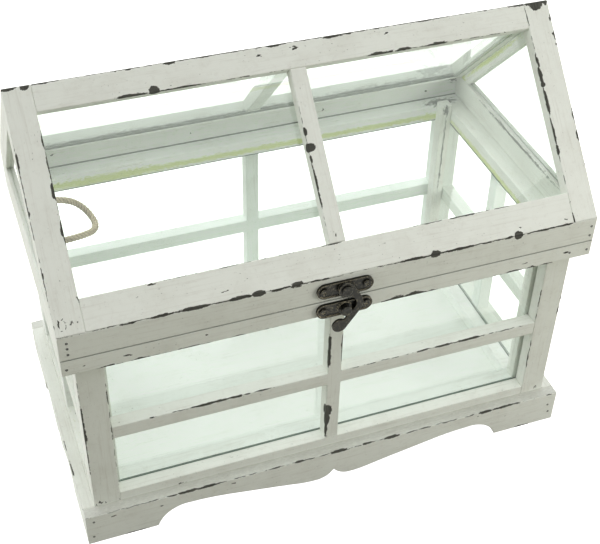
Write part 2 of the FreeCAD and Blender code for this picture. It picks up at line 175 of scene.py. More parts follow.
class Sheet:
    """One node tree, with short words for the nodes that are added to it."""

    def __init__(self, tree):
        self.tree = tree
        self.count = 0

    def node(self, kind, **settings):
        made = self.tree.nodes.new(kind)
        made.location = (self.count % 10 * 200, -(self.count // 10) * 330)
        self.count += 1
        for key, value in settings.items():
            setattr(made, key, value)
        return made

    def feed(self, socket, value):
        if isinstance(value, bpy.types.NodeSocket):
            self.tree.links.new(value, socket)
        else:
            socket.default_value = value

    def put(self, node, **given):
        """Feeds the node's inputs by their names, with _ for a space."""
        for label, value in given.items():
            self.feed(node.inputs[label.replace("_", " ")], value)
        return node.outputs

    def math(self, operation, first, second, clamp):
        made = self.node("ShaderNodeMath", operation=operation, use_clamp=clamp)
        self.feed(made.inputs[0], first)
        self.feed(made.inputs[1], second)
        return made.outputs[0]

    def plus(self, first, second, clamp=False):
        return self.math("ADD", first, second, clamp)

    def minus(self, first, second):
        return self.math("SUBTRACT", first, second, False)

    def times(self, first, second, clamp=False):
        return self.math("MULTIPLY", first, second, clamp)

    def larger(self, first, second):
        return self.math("MAXIMUM", first, second, False)

    def vector(self, operation, first, second=(0.0, 0.0, 0.0)):
        made = self.node("ShaderNodeVectorMath", operation=operation)
        self.feed(made.inputs[0], first)
        self.feed(made.inputs[1], second)
        number = operation in ("LENGTH", "DOT_PRODUCT")
        return made.outputs["Value"] if number else made.outputs["Vector"]

    def mix(self, share, first, second):
        made = self.node("ShaderNodeMix", data_type="RGBA")
        self.feed(made.inputs[0], share)
        self.feed(made.inputs[6], first)
        self.feed(made.inputs[7], second)
        return made.outputs[2]

    def ramp(self, value, low, high, start=0.0, end=1.0):
        made = self.node("ShaderNodeMapRange", interpolation_type="SMOOTHSTEP")
        for socket, given in zip(made.inputs[:5], (value, low, high, start, end)):
            self.feed(socket, given)
        return made.outputs[0]

    def noise(self, place, scale, detail, roughness):
        made = self.node("ShaderNodeTexNoise")
        return self.put(made, Vector=place, Scale=scale, Detail=detail, Roughness=roughness)[0]

    def stretched(self, place, factors, detail, roughness):
        """Noise drawn out along one direction of its place."""
        return self.noise(self.vector("MULTIPLY", place, factors), 1.0, detail, roughness)

    def softened(self, radius):
        """The normal rounded over edges within the radius."""
        return self.put(self.node("ShaderNodeBevel", samples=6), Radius=radius)[0]

    def bump(self, shader, strength, distance, height, **normal):
        made = self.node("ShaderNodeBump")
        self.put(made, Strength=strength, Distance=distance, Height=height, **normal)
        self.put(shader, Normal=made.outputs[0])

    def use(self, tree, **given):
        return self.put(self.node("ShaderNodeGroup", node_tree=tree), **given)


def effect(name, inputs, outputs, fill):
    """The shader node group of that name, made by fill the first time that it is asked for."""
    tree = bpy.data.node_groups.get(name)
    if tree is not None:
        return tree
    tree = bpy.data.node_groups.new(name, "ShaderNodeTree")
    for label, kind in inputs:
        tree.interface.new_socket(name=label, in_out="INPUT", socket_type="NodeSocket" + kind)
    for label, kind in outputs:
        tree.interface.new_socket(name=label, in_out="OUTPUT", socket_type="NodeSocket" + kind)
    sheet = Sheet(tree)
    results = fill(sheet, sheet.node("NodeGroupInput").outputs)
    leave = sheet.node("NodeGroupOutput").inputs
    for label, _ in outputs:
        sheet.feed(leave[label], results[label])
    return tree


def brushed_paint():
    """Paint brushed along the grain: streaks, bristle marks, clouds and small dark specks."""
    def fill(s, given):
        grain = given["Grain"]
        brush = s.stretched(grain, (24.0, 560.0, 560.0), 5.0, 0.62)
        bristle = s.stretched(grain, (90.0, 2100.0, 2100.0), 3.0, 0.6)
        cloud = s.noise(grain, 38.0, 4.0, 0.6)
        mottle = s.noise(grain, 240.0, 3.0, 0.6)
        pin = s.stretched(grain, (520.0, 1300.0, 1300.0), 1.0, 0.4)
        thin = s.times(s.ramp(brush, 0.5, 0.74), given["Streaks"])
        hair = s.times(s.ramp(bristle, 0.55, 0.75), s.times(given["Streaks"], 0.35))
        faint = s.times(given["Streaks"], 0.6)
        dull = s.times(s.ramp(cloud, 0.42, 0.72), faint)
        blotch = s.times(s.ramp(mottle, 0.5, 0.78), faint)
        share = s.plus(s.plus(thin, hair), s.plus(dull, blotch), clamp=True)
        dot = s.times(s.ramp(pin, 0.73, 0.79), s.ramp(cloud, 0.36, 0.6))
        dot = s.times(dot, given["Specks"], clamp=True)
        colour = s.mix(share, given["Paint"], given["Thin paint"])
        colour = s.mix(dot, colour, given["Dirt"])
        height = s.plus(s.times(brush, 0.7), s.times(bristle, 0.3))
        height = s.minus(height, s.times(dot, 0.5))
        gloss = s.plus(s.times(cloud, 0.25), 0.42)
        return {"Color": colour, "Height": height, "Roughness": gloss}

    return effect(
        "Brushed paint",
        (
            ("Grain", "Vector"),
            ("Paint", "Color"),
            ("Thin paint", "Color"),
            ("Dirt", "Color"),
            ("Streaks", "Float"),
            ("Specks", "Float"),
        ),
        (("Color", "Color"), ("Height", "Float"), ("Roughness", "Float")),
        fill,
    )


def worn_edge():
    """Where an edge is rubbed, and on the bronze where painted highlight lies along it: near it the bevelled
    normal leaves the true one, and noise breaks it up.
    """
    def fill(s, given):
        bend = s.minus(1.0, s.vector("DOT_PRODUCT", given["Soft"], given["Flat"]))
        near = s.ramp(bend, 0.004, 0.16)
        total = s.plus(s.times(near, 0.42), given["Ragged"])
        total = s.plus(total, given["Amount"])
        mask = s.times(s.ramp(total, 1.06, 1.14), s.ramp(near, 0.02, 0.2))
        return {"Mask": mask}

    return effect(
        "Worn edge",
        (("Soft", "Vector"), ("Flat", "Vector"), ("Ragged", "Float"), ("Amount", "Float")),
        (("Mask", "Float"),),
        fill,
    )


def paint_mark():
    """A mark at one place: 1 in its middle, falling to 0 at its size, together with the marks before it."""
    def fill(s, given):
        away = s.vector("DIVIDE", s.vector("SUBTRACT", given["Grain"], given["Centre"]), given["Size"])
        inside = s.minus(1.0, s.vector("LENGTH", away))
        return {"Mask": s.larger(given["Others"], inside)}

    return effect(
        "Paint mark",
        (("Grain", "Vector"), ("Centre", "Vector"), ("Size", "Vector"), ("Others", "Float")),
        (("Mask", "Float"),),
        fill,
    )


def new_material(name):
    material = bpy.data.materials.new(name)
    material.use_nodes = True
    material.node_tree.nodes.clear()
    sheet = Sheet(material.node_tree)
    shader = sheet.node("ShaderNodeBsdfPrincipled")
    output = sheet.node("ShaderNodeOutputMaterial")
    material.node_tree.links.new(shader.outputs[0], output.inputs["Surface"])
    return material, sheet, shader, output


def marks(s, grain, axes, places):
    """The joined mask of marks given in millimetres: x, y, z, half length along the grain, half width."""
    mask = 0.0
    for x, y, z, half_length, half_width in places:
        point = Vector((x, y, z)) * MM
        centre = [point.dot(axis) for axis in axes]
        reach = (half_length * MM, half_width * MM, half_width * MM)
        mask = s.use(paint_mark(), Grain=grain, Centre=centre, Size=reach, Others=mask)["Mask"]
    return mask


# How far the noise moves the marks, along the grain and across it, in metres, and how coarse it is
STRAY = (0.014, 0.0022, 0.0022)
STRAY_DETAIL = (150.0, 420.0, 420.0)
# The mark's strength at which the paint starts to break, and at which it is gone
BREAKS = (0.42, 0.5)


def painted(
    name, along, across, chips=(), spots=(), grime_and_shade=(), lines=(), algae=(), streaks=0.45, dust=0.0, base=None
):
    """Chipped off-white paint on wood whose grain runs along the first direction."""
    material = bpy.data.materials.get(name)
    if material is not None:
        return material
    tone = colours()
    axes = (along, across, along.cross(across))
    material, s, shader, _ = new_material(name)
    place = s.node("ShaderNodeTexCoord").outputs["Object"]
    joined = s.node("ShaderNodeCombineXYZ")
    for socket, axis in zip(joined.inputs, axes):
        s.feed(socket, s.vector("DOT_PRODUCT", place, tuple(axis)))
    grain = joined.outputs[0]
    paint = s.use(
        brushed_paint(),
        Grain=grain,
        Paint=opaque(base or tone.paint),
        Thin_paint=opaque(tone.paint_streak),
        Dirt=opaque(tone.grime_and_shade),
        Streaks=streaks,
        Specks=0.75,
    )
    soft = s.softened(sizes().wear_reach)
    flat = s.node("ShaderNodeNewGeometry").outputs["Normal"]
    ragged = s.stretched(grain, (300.0, 850.0, 850.0), 5.0, 0.72)
    patchy = s.noise(grain, 46.0, 2.0, 0.5)
    drift = s.node("ShaderNodeTexNoise")
    s.put(drift, Vector=s.vector("MULTIPLY", grain, STRAY_DETAIL), Scale=1.0)
    shift = s.vector("MULTIPLY", s.vector("SUBTRACT", drift.outputs["Color"], (0.5, 0.5, 0.5)), STRAY)
    strayed = s.vector("ADD", grain, shift)
    rub = s.plus(s.times(ragged, 0.55), s.times(patchy, 0.55))
    worn = s.use(worn_edge(), Soft=soft, Flat=flat, Ragged=rub, Amount=0.06)
    bare = worn["Mask"]
    uneven = s.times(s.minus(ragged, 0.5), 2.0)
    if chips:
        chipped = s.plus(s.times(marks(s, strayed, axes, chips), 2.0), uneven)
        bare = s.larger(bare, s.ramp(chipped, *BREAKS))
    if spots:
        knocked = s.times(marks(s, grain, axes, spots), 2.0)
        knocked = s.plus(knocked, s.times(uneven, 0.7))
        bare = s.larger(bare, s.ramp(knocked, *BREAKS))
    colour = paint["Color"]
    if dust:
        upward = s.node("ShaderNodeSeparateXYZ")
        s.feed(upward.inputs[0], flat)
        lying = s.ramp(upward.outputs[2], 0.8, 0.98, 0.0, dust)
        lying = s.times(lying, s.ramp(ragged, 0.3, 0.6, 0.65, 1.0))
        colour = s.mix(lying, colour, opaque(tone.dust))
    if algae:
        green = s.plus(marks(s, strayed, axes, algae), uneven)
        colour = s.mix(s.ramp(green, 0.1, 0.75, 0.0, 0.8), colour, opaque(tone.algae))
    # Grime marks: dirt, and painted shadow where a mark lies in a shaded gap
    if grime_and_shade:
        dark = s.plus(marks(s, strayed, axes, grime_and_shade), uneven)
        colour = s.mix(s.ramp(dark, 0.2, 0.65, 0.0, 0.85), colour, opaque(tone.grime_and_shade))
    # Lines: dark joints, and the painted shadow under the back sash
    if lines:
        drawn = s.ramp(marks(s, grain, axes, lines), 0.05, 0.6, 0.0, 0.75)
        colour = s.mix(drawn, colour, opaque(tone.grime_and_shade))
    grit = s.stretched(grain, (60.0, 1500.0, 1500.0), 3.0, 0.6)
    paler = [1.9 * part for part in tone.bare_wood]
    wood = s.mix(s.ramp(grit, 0.35, 0.7), opaque(tone.bare_wood), opaque(paler))
    rough = s.plus(paint["Roughness"], s.times(bare, 0.3))
    s.put(shader, Base_Color=s.mix(bare, colour, wood), Roughness=rough, Specular_IOR_Level=0.35)
    height = s.minus(s.times(paint["Height"], 0.5), bare)
    s.bump(shader, 0.55, 0.25 * MM, height, Normal=soft)
    return material


def clear_glass():
    material = bpy.data.materials.get("greenhouse_glass")
    if material is not None:
        return material
    material, s, shader, output = new_material("greenhouse_glass")
    s.put(shader, Base_Color=opaque(colours().glass), Metallic=0.0, Transmission_Weight=1.0, IOR=1.45)
    place = s.node("ShaderNodeTexCoord").outputs["Object"]
    smear = s.noise(place, 24.0, 4.0, 0.6)
    s.put(shader, Roughness=s.ramp(smear, 0.5, 0.85, 0.0, 0.05))
    s.bump(shader, 0.06, 0.2 * MM, s.noise(place, 9.0, 1.0, 0.4))
    path = s.node("ShaderNodeLightPath").outputs
    through = s.node("ShaderNodeBsdfTransparent")
    s.put(through, Color=opaque((0.985, 0.998, 0.99)))
    both = s.node("ShaderNodeMixShader")
    s.feed(both.inputs[0], s.larger(path["Is Shadow Ray"], path["Is Diffuse Ray"]))
    s.feed(both.inputs[1], shader.outputs[0])
    s.feed(both.inputs[2], through.outputs[0])
    s.put(output, Surface=both.outputs[0])
    return material


def plain_finish(name, main, other, scale, roughness, metallic=0.0, worn=0.0):
    """A mottled finish for the small parts, with its second colour in patches and along rubbed edges; on the
    bronze that edge colour is also painted highlight.
    """
    material = bpy.data.materials.get(name)
    if material is not None:
        return material
    material, s, shader, _ = new_material(name)
    place = s.node("ShaderNodeTexCoord").outputs["Object"]
    cloud = s.noise(place, scale, 4.0, 0.6)
    fine = s.noise(place, scale * 7, 3.0, 0.6)
    soft = s.softened(0.7 * MM)
    flat = s.node("ShaderNodeNewGeometry").outputs["Normal"]
    # On the bronze this edge mask also lays painted highlight along the rims
    rub = s.use(worn_edge(), Soft=soft, Flat=flat, Ragged=cloud, Amount=worn)
    share = s.plus(s.ramp(cloud, 0.5, 0.75, 0.0, 0.4), rub["Mask"], clamp=True)
    rough = s.ramp(fine, 0.3, 0.7, roughness - 0.1, roughness + 0.14)
    s.put(shader, Base_Color=s.mix(share, opaque(main), opaque(other)), Roughness=rough, Metallic=metallic)
    s.bump(shader, 0.35, 0.08 * MM, fine, Normal=soft)
    return material


def bronze():
    tone = colours()
    # Its rubbed colour along the edges is worn bronze and also painted highlight
    return plain_finish("dark_bronze", tone.bronze, tone.bronze_rubbed_and_highlight, 800.0, 0.3, metallic=0.75, worn=0.3)


def glass_rim_and_shadow_line():
    tone = colours()
    return plain_finish("glass_rim_and_shadow_line", tone.glass_rim_and_shadow_line, [1.8 * part for part in tone.glass_rim_and_shadow_line], 300.0, 0.35)


def jute():
    """Twisted fibre: fine lines run along each strand, on the strand's own UV map, and painted shade darkens
    the grooves.
    """
    material = bpy.data.materials.get("jute_fibre")
    if material is not None:
        return material
    tone = colours()
    material, s, shader, _ = new_material("jute_fibre")
    unrolled = s.node("ShaderNodeUVMap", uv_map="strand").outputs["UV"]
    fibre = s.stretched(unrolled, (260.0, 22.0, 1.0), 4.0, 0.65)
    wisp = s.stretched(unrolled, (900.0, 60.0, 1.0), 3.0, 0.6)
    # Painted shade: ambient occlusion darkens the grooves between the strands, besides the fibre's own darker
    # speckle
    groove = s.node("ShaderNodeAmbientOcclusion", samples=8, only_local=True)
    s.put(groove, Distance=0.9 * MM)
    hairy = s.noise(s.node("ShaderNodeTexCoord").outputs["Object"], 1300.0, 3.0, 0.6)
    groove_shade_and_speckle = s.ramp(groove.outputs["AO"], 0.95, 0.45, 0.0, 0.8)
    groove_shade_and_speckle = s.plus(groove_shade_and_speckle, s.ramp(hairy, 0.5, 0.68, 0.0, 0.5))
    lines = s.plus(s.ramp(fibre, 0.42, 0.7, 0.0, 0.5), s.ramp(wisp, 0.5, 0.75, 0.0, 0.2))
    share = s.plus(lines, groove_shade_and_speckle, clamp=True)
    colour = s.mix(share, opaque(tone.jute), opaque(tone.jute_shade))
    s.put(shader, Base_Color=colour, Roughness=0.85, Specular_IOR_Level=0.1)
    s.bump(shader, 0.7, 0.2 * MM, s.plus(fibre, s.times(wisp, 0.5)))
    return material


# Modelling by hand

def only(piece):
    """Deselects everything else and makes the piece active."""
    bpy.ops.object.select_all(action="DESELECT")
    piece.select_set(True)
    bpy.context.view_layer.objects.active = piece


def edit(piece):
    """Opens the piece in edit mode, with all its faces selected."""
    only(piece)
    bpy.ops.object.mode_set(mode="EDIT")
    bpy.ops.mesh.select_mode(type="FACE")
    bpy.ops.mesh.select_all(action="SELECT")


def leave_edit():
    bpy.ops.object.mode_set(mode="OBJECT")


def choose_faces(piece, test):
    """In edit mode, selects the faces whose centre and normal pass the test, and no others."""
    bpy.ops.mesh.select_all(action="DESELECT")
    leave_edit()
    chosen = 0
    for face in piece.data.polygons:
        face.select = bool(test(face.center, face.normal))
        chosen += face.select
    bpy.ops.object.mode_set(mode="EDIT")
    if not chosen:
        raise RuntimeError("no face of " + piece.name + " is where it is looked for")


def cut(piece, place, direction):
    edit(piece)
    bpy.ops.mesh.bisect(plane_co=place, plane_no=direction)
    leave_edit()


def apply_modifier(piece, kind, **settings):
    only(piece)
    bpy.ops.object.modifier_add(type=kind)
    modifier = piece.modifiers[-1]
    for key, value in settings.items():
        setattr(modifier, key, value)
    bpy.ops.object.modifier_apply(modifier=modifier.name)


def soften(piece, width):
    """Rounds the sharp edges and keeps the flats flat."""
    apply_modifier(
        piece,
        "BEVEL",
        width=width,
        segments=2,
        limit_method="ANGLE",
        angle_limit=BEVEL_FROM,
        miter_outer="MITER_ARC",
    )
    only(piece)
    bpy.ops.object.shade_smooth_by_angle(angle=SHARP)
    apply_modifier(piece, "WEIGHTED_NORMAL", keep_sharp=True)


def apply_place(piece):
    only(piece)
    bpy.ops.object.transform_apply(location=True, rotation=True, scale=True)


def fresh(add, name, **settings):
    """A new primitive by itself, with its place and size applied."""
    bpy.ops.object.select_all(action="DESELECT")
    add(**settings)
    piece = bpy.context.active_object
    piece.name = name
    apply_place(piece)
    return piece


def give(piece, *materials):
    piece.data.materials.clear()
    for material in materials:
        piece.data.materials.append(material)


def copy_of_node(node, name):
    """A copy of a CAD node's mesh as a piece of its own, merged and with whole faces again."""
    only(frame["nodes"][node])
    bpy.ops.object.duplicate()
    piece = bpy.context.active_object
    bpy.ops.object.parent_clear(type="CLEAR_KEEP_TRANSFORM")
    for key in list(piece.keys()):
        del piece[key]
    piece.name = name
    piece.data.name = name
    edit(piece)
    bpy.ops.mesh.remove_doubles(threshold=MERGE)
    bpy.ops.mesh.dissolve_limited(angle_limit=COPLANAR)
    bpy.ops.mesh.select_all(action="SELECT")
    bpy.ops.mesh.normals_make_consistent(inside=False)
    leave_edit()
    return piece


def stands_for(piece, node):
    """The piece takes the CAD node's place, on the same body."""
    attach(piece, frame["nodes"][node]["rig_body"])
    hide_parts(node)


def board(node, finish):
    piece = copy_of_node(node, "board_" + node)
    soften(piece, sizes().board_edge)
    give(piece, finish)
    stands_for(piece, node)


def metal_piece(node, edge):
    piece = copy_of_node(node, "metal_" + node)
    soften(piece, edge)
    give(piece, bronze())
    stands_for(piece, node)


def crossed_bars(node, across, level, upright):
    """A halved cross of bars: cut at the upright's sides, so that each bar has its own grain."""
    piece = copy_of_node(node, "board_" + node)
    for side in (-1, 1):
        cut(piece, across * side * HALF_BAR * MM, across)
    soften(piece, sizes().board_edge)
    give(piece, level, upright)
    for face in piece.data.polygons:
        face.material_index = int(abs(face.center.dot(across)) < (HALF_BAR + 0.01) * MM)
    stands_for(piece, node)


def rafters(node):
    """The joined pair of rafters, cut at their plumb joint so that each has its own grain."""
    piece = copy_of_node(node, "board_" + node)
    cut(piece, (0, 0, 0), Y)
    soften(piece, sizes().board_edge)
    back_finish = painted("paint_back_gable", DOWN_BACK, X, algae=RAFTER_ALGAE)
    give(piece, painted("paint_gable", DOWN_FRONT, X), back_finish)
    for face in piece.data.polygons:
        face.material_index = int(face.center.y > 0)
    stands_for(piece, node)


def copies_at(piece, names, shifts):
    """The piece itself at the first shift, and a copy with its own mesh at each of the others."""
    made = []
    for name, shift in zip(names, shifts):
        if not made:
            copy = piece
        else:
            only(piece)
            bpy.ops.object.duplicate()
            copy = bpy.context.active_object
            copy.data.transform(Matrix.Translation(Vector(shift) - Vector(shifts[0])))
        copy.name = name
        copy.data.name = name
        made.append(copy)
    return made


def disc(name, place, radius, depth, vertices):
    """A short cylinder along Y, left in edit mode."""
    made = fresh(
        bpy.ops.mesh.primitive_cylinder_add,
        name,
        vertices=vertices,
        radius=radius,
        depth=depth,
        location=place,
        rotation=(math.radians(90), 0, 0),
    )
    edit(made)
    return made


def screw_head(name, place, radius, facing):
    """A dished round head with a cross recess, facing the front (-1) or the back (1)."""
    head = disc(name, place, radius, radius * 0.5, 32)
    choose_faces(head, lambda centre, normal: normal.y * facing > 0.9)
    bpy.ops.mesh.inset(thickness=radius * 0.28)
    bpy.ops.transform.translate(value=(0, facing * radius * 0.1, 0))
    bpy.ops.mesh.inset(thickness=radius * 0.3)
    bpy.ops.transform.translate(value=(0, -facing * radius * 0.12, 0))
    leave_edit()
    for turn in (20, 110):
        cutter = fresh(
            bpy.ops.mesh.primitive_cube_add,
            "recess",
            size=1.0,
            location=Vector(place) + Vector((0, facing * radius * 0.32, 0)),
            rotation=(0, math.radians(turn), 0),
            scale=(radius * 1.05, radius * 0.4, radius * 0.22),
        )
        apply_modifier(head, "BOOLEAN", operation="DIFFERENCE", object=cutter, solver="EXACT")
        bpy.data.objects.remove(cutter)
    soften(head, radius * 0.04)
    return head


def put_heads(head, finish, seats):
    """Copies the head to every seat, given by its name, its place and the body that it rides on."""
    give(head, finish)
    names, places, bodies = zip(*seats)
    for copy, body in zip(copies_at(head, names, places), bodies):
        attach(copy, body)


# Marks on the paint, each in millimetres: x, y, z, half length along the grain, half width

# The faces and edges that they lie on
SIDE = 200.0
STILE_EDGE = 180.5
FRONT_FACE = -114.0
WALL_FACE = -104.5
BACK_FACE = 105.5
PLINTH_TOP = 31.0
BAR_TOP = 111.5
RIM_FOOT = 181.5
PARTING = 195.15
EAVE_TOP = 216.0
RIDGE_TOP = 336.0
# Edges on the slope, each given by its y and z
RIDGE_RAIL_FOOT = (-13.0, 322.3)
EAVE_RAIL_TOP = (-98.3, 232.5)


def along_x(y, z, runs):
    """Marks on an edge that runs along X, each given by x, half length and half width."""
    return tuple((x, y, z, half_length, half_width) for x, half_length, half_width in runs)


def down_slope(x, places):
    """Marks on an edge that runs down the roof, each given without its x."""
    return tuple((x, *place) for place in places)


def on_face(y, places):
    """Marks on a face that looks forward or back, each given without its y."""
    return tuple((x, y, *rest) for x, *rest in places)


def turned(places):
    """The same marks half a turn round the greenhouse, for the side that the photograph doesn't show."""
    return tuple((-x, -y, z, half_length, half_width) for x, y, z, half_length, half_width in places)


EAVE_CHIPS = along_x(FRONT_FACE, EAVE_TOP, (
    (-98.9, 138.7, 0.59), (-152.5, 9.1, 1.1), (-129.5, 10.1, 1.17), (-108.8, 15.4, 1.82), (-77, 11.3, 1.62),
    (-47.8, 9.6, 1.43), (-34.4, 5.4, 3.12), (-19.5, 15.2, 0.85), (99.6, 111.2, 0.65), (51.2, 15.6, 1.43),
    (88.4, 18.2, 1.56), (127.8, 4.5, 1.43), (160.4, 27.9, 1.04),
))
RIDGE_CHIPS = along_x(0, RIDGE_TOP, (
    (-194.1, 6.3, 2.07), (-180.1, 25.5, 1.3), (-172.1, 5.5, 1.89), (-123.8, 3.7, 1.7), (-116, 3.2, 1.7),
    (-88.2, 6.6, 3.2), (-78.2, 7.2, 1.13), (-63.8, 3.8, 1.32), (-25.5, 6.9, 1.13), (-12.9, 10.4, 2.26),
    (28.7, 12.3, 2.45), (41.7, 5.7, 1.79), (61.5, 8.9, 1.41), (103.3, 19.5, 1.23), (181.9, 22, 2.07),
    (-0.4, 271.7, 0.9),
))
RIDGE_CHIPS += along_x(*RIDGE_RAIL_FOOT, (
    (-117.4, 14.8, 2.07), (-83.4, 19.3, 1.23), (62, 14.7, 2.07), (78.9, 6.4, 2.45), (106.3, 11.9, 2.26),
    (-37.7, 43.3, 0.45), (118.9, 63.2, 0.45),
))
RIDGE_CHIPS += along_x(*EAVE_RAIL_TOP, (
    (-82.1, 63.9, 0.45), (-3.4, 7.9, 1.23), (69.7, 19.2, 0.72), (95.5, 16.2, 1.51), (121.4, 19.3, 0.59),
))
RIDGE_CHIPS += (
    (-24.8, -4.2, 331.6, 1.6, 1.1), (0.9, -3.1, 332.7, 2.2, 1.8), (69, -3.4, 332.4, 1.8, 0.9),
    (-130.9, -98.9, 231.9, 1.6, 1), (-86, -109.3, 220.9, 1, 0.8), (-33, -112.6, 217.5, 1.2, 0.9),
    (174.4, -111.2, 219, 1.6, 1), (138, -110.3, 219.9, 1.2, 0.9), (42.2, -118, 211.8, 1.2, 0.8),
)
SLOPE_CHIPS = down_slope(STILE_EDGE, (
    (-7.1, 328.5, 10.4, 0.45), (-29.7, 304.8, 5.9, 1.89), (-36.8, 297.2, 8.4, 3.02),
    (-51.2, 282.1, 14.6, 2.07), (-66.2, 266.3, 15.4, 1.32), (-76, 256, 5, 2.07), (-58.6, 274.3, 92.2, 0.45),
    (-111.9, 218.2, 5.7, 1.6),
))
SLOPE_CHIPS += down_slope(SIDE, (
    (-8.6, 327, 3.3, 3.02), (-18, 317, 3.7, 2.64), (-24.5, 310.2, 1.6, 1.7), (-60.6, 272.2, 9.5, 1.7),
    (-85.5, 246, 1.5, 1.32),
))
SLOPE_CHIPS += down_slope(-STILE_EDGE, (
    (-25.8, 308.8, 6.9, 1.32), (-37.7, 296.3, 16.8, 1.13), (-49.6, 283.8, 6.9, 3.02),
    (-65.8, 266.7, 5.4, 2.07), (-73.6, 258.5, 10, 0.72), (-59.2, 273.7, 75.8, 0.45),
    (-97.8, 233, 1.8, 1.89),
))
SLOPE_CHIPS += down_slope(-SIDE, (
    (-34.9, 299.2, 8.6, 1.56), (-50.2, 283.2, 21.7, 0.78), (-57.7, 275.2, 4.1, 1.43),
    (-86, 245.5, 3.6, 1.3), (-93, 238.1, 11.3, 0.85), (-70.7, 261.6, 85.2, 0.59),
))
SLOPE_CHIPS += (
    (198.5, -1, 335, 3, 3), (-5.9, -56.7, 276.3, 4.8, 2.07), (-5.9, -68.9, 263.5, 21.4, 1.41),
    (-5.9, -61.9, 270.9, 70.1, 0.45), (-196.3, -106.8, 223.6, 3.2, 0.9), (-193.5, -107.2, 223.1, 0.9, 0.8),
    (-191.8, -108.1, 222.2, 1, 0.9), (-192.2, -109.5, 220.7, 1, 0.9), (-189, -108.4, 221.9, 1.2, 1),
    (-187.4, -108.8, 221.5, 0.9, 0.8), (-184, -108.5, 221.8, 1, 0.9), (-195.3, -110.1, 220.1, 0.9, 0.8),
    (180.2, -102.7, 227.9, 1, 1.4), (-0.3, -95.4, 235.6, 1.6, 0.8),
)
FRONT_CHIPS = along_x(FRONT_FACE, RIM_FOOT, (
    (-169.6, 5.6, 2.07), (-162.6, 4.2, 1.13), (-147, 8.5, 1.89), (-117.5, 31.9, 0.65), (-121.1, 2.4, 1.7),
    (-107.1, 17.8, 1.32), (-77.7, 7.9, 1.32), (-56.8, 11.9, 0.65), (33.1, 7.6, 2.07), (41.2, 10, 4.2),
    (55.7, 9.8, 4.4), (67.7, 5.9, 1.89), (119.9, 65.7, 0.59), (136, 13.2, 1.98), (149.4, 4.1, 2.64),
    (163.1, 7.6, 1.13),
))
FRONT_CHIPS += along_x(FRONT_FACE, PLINTH_TOP, (
    (-0.9, 270.2, 0.59), (-133.5, 7, 0.78), (-119.7, 12, 1.89), (-103.7, 9.9, 1.95), (-46.1, 5.5, 0.78),
    (-30.6, 7.8, 1.3), (3.9, 12, 2.08), (27.7, 5.2, 1.69), (49.2, 10.7, 2.08), (67.1, 13.8, 0.78),
    (133.8, 9.4, 2.08), (152, 15.4, 1.56), (192.2, 5.6, 1.17),
))
FRONT_CHIPS += along_x(WALL_FACE, BAR_TOP, (
    (-123.5, 15.3, 0.45), (-139.4, 3.5, 1.1), (-98.4, 20.1, 1.56), (-78.3, 8.4, 1.82), (-60.6, 15.9, 0.78),
    (37.4, 43.8, 0.45), (74.7, 7.3, 1.04), (93.1, 14, 1.3), (112.9, 17.8, 1.62), (141.7, 21.7, 0.59),
))
FRONT_CHIPS += on_face(FRONT_FACE, (
    (-162.3, 0, 11.3, 1.89), (169.7, 0, 8, 2.17), (-183.5, 187.5, 2, 0.9), (-154.9, 187.8, 2.2, 1),
    (-100.8, 189.6, 2.2, 0.9), (144.5, 187.4, 2.2, 0.8), (179.4, 188.7, 1.6, 1.1), (-178.6, 25.9, 1.4, 1.2),
    (-142.8, 22.6, 2.2, 1), (-84.4, 26.2, 2, 1), (127.4, 27.4, 1.6, 0.7),
))
FRONT_CHIPS += ((-122.2, WALL_FACE, 31.2, 2.2, 0.9),)
UPRIGHT_CHIPS = on_face(WALL_FACE, (
    (-190.5, 152.4, 20.2, 0.59), (-190.5, 127.2, 15.6, 1.76), (-190.5, 107.8, 12.5, 2.47),
    (-190.5, 82.7, 21.9, 1.17), (-170.5, 99.5, 77.9, 0.45), (-170.5, 142.2, 12.4, 0.98),
    (-170.5, 105.9, 10.3, 0.78), (190.5, 120.3, 4, 2.45), (190.5, 135.4, 5.8, 1.13),
    (170.5, 131.4, 23.1, 0.78), (170.5, 76.9, 21.5, 0.65), (-5.5, 143.2, 10.3, 2.07),
    (-5.5, 130.4, 16.9, 2.54), (-5.5, 49.7, 11.2, 2.26), (5.5, 138.6, 14.6, 1.41), (5.5, 122.7, 7.2, 0.59),
    (-185.7, 33, 1.8, 2.2), (-189.1, 30.7, 0.8, 1.2), (183.9, 33.9, 2, 1.6), (-181.9, 32.7, 0.8, 0.8),
    (-171, 32.1, 0.8, 0.8),
))
EDGE_SPOTS = (
    (-62.4, -114, 216, 6.5, 3.1), (68.8, -114, 216, 5.3, 3.7), (134.8, -114, 216, 4.5, 4.5),
    (-184.9, 0, 336, 2.2, 3.1), (189.6, 0, 336, 4.7, 5.4), (-101.8, -13, 322.3, 4.9, 5.8),
)
SLOPE_SPOTS = (
    (-196, 0, 336, 3, 7.5), (-184.9, 0, 336, 4.5, 4.4), (190, 0, 336, 3.6, 13),
    (189.6, -1.5, 334.4, 5.5, 7), (180.5, -42.2, 291.6, 2.7, 3.1), (200, -70.8, 261.5, 5.5, 2.6),
    (-5.9, -43.5, 290.2, 4.1, 2.7), (-5.9, -51.5, 281.8, 4.2, 7.5),
)
UPRIGHT_SPOTS = on_face(WALL_FACE, ((-5.5, 70.5, 9, 6.4), (-5.5, 61.5, 10, 4.6)))
SIDE_CHIPS = ((-SIDE, -37.4, PLINTH_TOP, 8.3, 0.78), (-SIDE, -63.5, PLINTH_TOP, 9.6, 1.49))
BACK_BOARD_CHIPS = on_face(BACK_FACE, (
    (-50.3, 203.8, 1.3, 1.2), (-162.6, 206.8, 1.3, 1.2), (162.7, 203.2, 1.3, 1.2), (65.8, 203.2, 1.3, 1.2),
))

